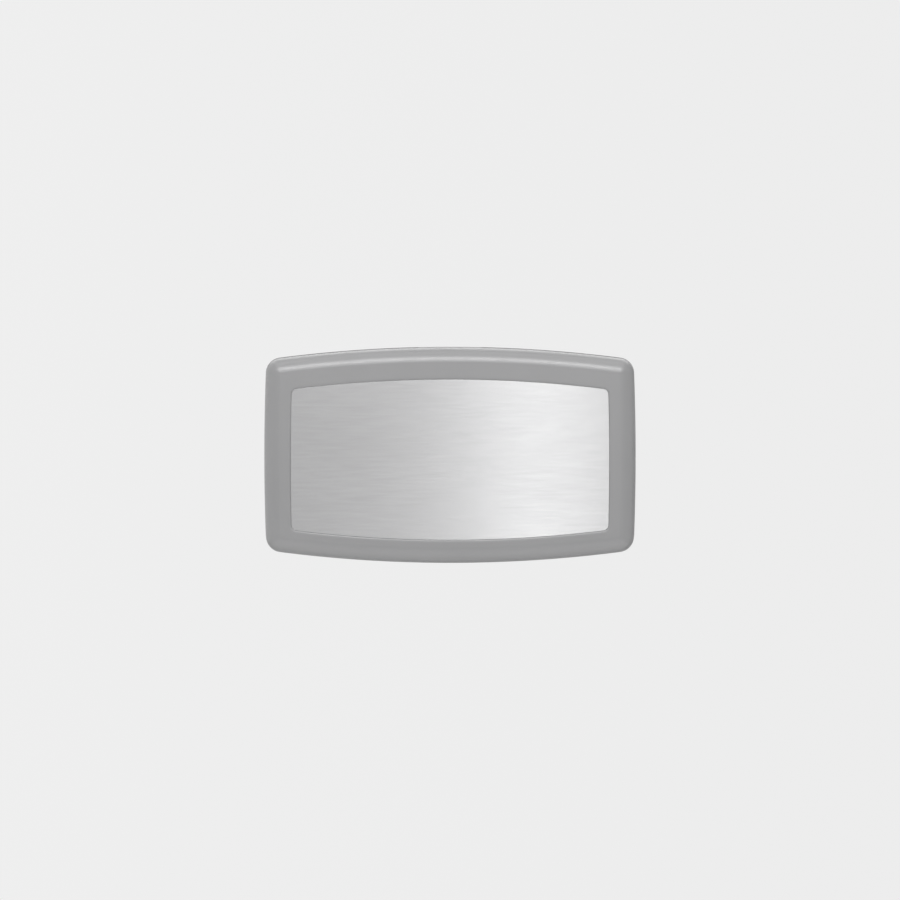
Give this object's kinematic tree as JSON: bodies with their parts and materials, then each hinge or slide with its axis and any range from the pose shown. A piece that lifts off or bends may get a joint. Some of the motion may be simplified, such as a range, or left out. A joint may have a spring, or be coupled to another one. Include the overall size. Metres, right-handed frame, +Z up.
{
  "type": "baby changing station",
  "caption": "Wall hung fold-down baby changing station: grey moulded bed with a brushed steel front, gas struts, strap, liner dispenser and bag hooks on a wall unit.",
  "frame": {"origin": "centre of the flat back, on the wall", "axes": "+X to the right seen from the front, +Y into the wall, +Z up; the front faces -Y"},
  "size_m": [0.9372, 0.102, 0.546],
  "materials": {
    "grey_shell": "moulded polyethylene, fine grain, satin",
    "back_plate": "flat moulded sheet, matte",
    "light_grey": "moulded, satin",
    "brushed_steel": "stainless, brushed along its length",
    "zinc_steel": "zinc plated",
    "bright_steel": "ground bright",
    "chrome": "nickel plated",
    "black_paint": "black paint, half gloss",
    "black_plastic": "moulded, satin",
    "rubber": "matte",
    "webbing": "woven nylon webbing"
  },
  "bodies": {
    "wall_unit": {"rear_panel": "grey_shell", "back_plate": "back_plate", "wall_bracket_left": "zinc_steel", "wall_bracket_right": "zinc_steel", "hinge_rod": "bright_steel", "rod_cap_left": "black_plastic", "rod_cap_right": "black_plastic", "dispenser_bin": "light_grey", "dispenser_cheek_left": "light_grey", "dispenser_cheek_right": "light_grey", "dispenser_front": "light_grey", "bin_screw_left": "zinc_steel", "bin_screw_right": "zinc_steel", "lid_pin": "bright_steel", "bag_hook_left": "light_grey", "hook_screw_left_1": "zinc_steel", "hook_screw_left_2": "zinc_steel", "bag_hook_right": "light_grey", "hook_screw_right_1": "zinc_steel", "hook_screw_right_2": "zinc_steel", "bumper_top_left": "rubber", "bumper_side_left": "rubber", "bumper_top_right": "rubber", "bumper_side_right": "rubber", "strut_wall_clevis_left": "zinc_steel", "strut_wall_pin_left": "bright_steel", "strut_wall_clevis_right": "zinc_steel", "strut_wall_pin_right": "bright_steel"},
    "lid": {"dispenser_lid": "light_grey", "lock_barrel": "chrome", "lock_nut": "zinc_steel"},
    "lock": {"lock_plug": "chrome", "lock_cam": "zinc_steel"},
    "bed": {"bed_outer_shell": "grey_shell", "bed_tray": "grey_shell", "steel_insert": "brushed_steel", "hinge_leaf": "zinc_steel", "leaf_screw_1": "zinc_steel", "leaf_screw_2": "zinc_steel", "leaf_screw_3": "zinc_steel", "leaf_screw_4": "zinc_steel", "strut_bed_clevis_left": "zinc_steel", "strut_bed_pin_left": "bright_steel", "strut_bed_clevis_right": "zinc_steel", "strut_bed_pin_right": "bright_steel", "strap_anchor_front": "black_plastic", "strap_anchor_rear": "black_plastic", "anchor_screw_front_left": "zinc_steel", "anchor_screw_rear_left": "zinc_steel", "anchor_screw_front_right": "zinc_steel", "anchor_screw_rear_right": "zinc_steel", "strap_long": "webbing", "strap_short": "webbing", "buckle_frame": "chrome", "buckle_pin": "bright_steel"},
    "strut_rod_body_left": {"strut_rod_left": "bright_steel"},
    "strut_cylinder_body_left": {"strut_cylinder_left": "black_paint"},
    "strut_rod_body_right": {"strut_rod_right": "bright_steel"},
    "strut_cylinder_body_right": {"strut_cylinder_right": "black_paint"},
    "buckle_lever_body": {"buckle_lever": "chrome"}
  },
  "joints": [
    {"name": "bed_fold", "type": "hinge", "parent": "wall_unit", "child": "bed", "pos_m": [0, -0.05, -0.245], "axis": [1, 0, 0], "range_deg": [0, 90], "stiffness_Nm_per_rad": 4, "springref_deg": -45.84},
    {"name": "strut_rod_turn_left", "type": "hinge", "parent": "wall_unit", "child": "strut_rod_body_left", "pos_m": [-0.4, -0.014, -0.209], "axis": [1, 0, 0], "range_deg": [0, 45]},
    {"name": "strut_cylinder_turn_left", "type": "hinge", "parent": "bed", "child": "strut_cylinder_body_left", "pos_m": [-0.4, -0.086, -0.209], "axis": [1, 0, 0], "range_deg": [-45, 0]},
    {"name": "strut_rod_turn_right", "type": "hinge", "parent": "wall_unit", "child": "strut_rod_body_right", "pos_m": [0.4, -0.014, -0.209], "axis": [1, 0, 0], "range_deg": [0, 45]},
    {"name": "strut_cylinder_turn_right", "type": "hinge", "parent": "bed", "child": "strut_cylinder_body_right", "pos_m": [0.4, -0.086, -0.209], "axis": [1, 0, 0], "range_deg": [-45, 0]},
    {"name": "lid_open", "type": "hinge", "parent": "wall_unit", "child": "lid", "pos_m": [0, -0.033, 0.1535], "axis": [-1, 0, 0], "range_deg": [0, 95]},
    {"name": "lock_turn", "type": "hinge", "parent": "lid", "child": "lock", "pos_m": [0, -0.05, 0.147], "axis": [0, 0, -1], "range_deg": [0, 90]},
    {"name": "buckle_release", "type": "hinge", "parent": "bed", "child": "buckle_lever_body", "pos_m": [0, -0.0656, -0.058], "axis": [-1, 0, 0], "range_deg": [0, 80], "stiffness_Nm_per_rad": 0.1, "springref_deg": -17.19}
  ],
  "couplings": [
    {"joint": "strut_rod_turn_left", "follows": "bed_fold", "ratio": 0.5},
    {"joint": "strut_cylinder_turn_left", "follows": "bed_fold", "ratio": -0.5},
    {"joint": "strut_rod_turn_right", "follows": "bed_fold", "ratio": 0.5},
    {"joint": "strut_cylinder_turn_right", "follows": "bed_fold", "ratio": -0.5}
  ]
}
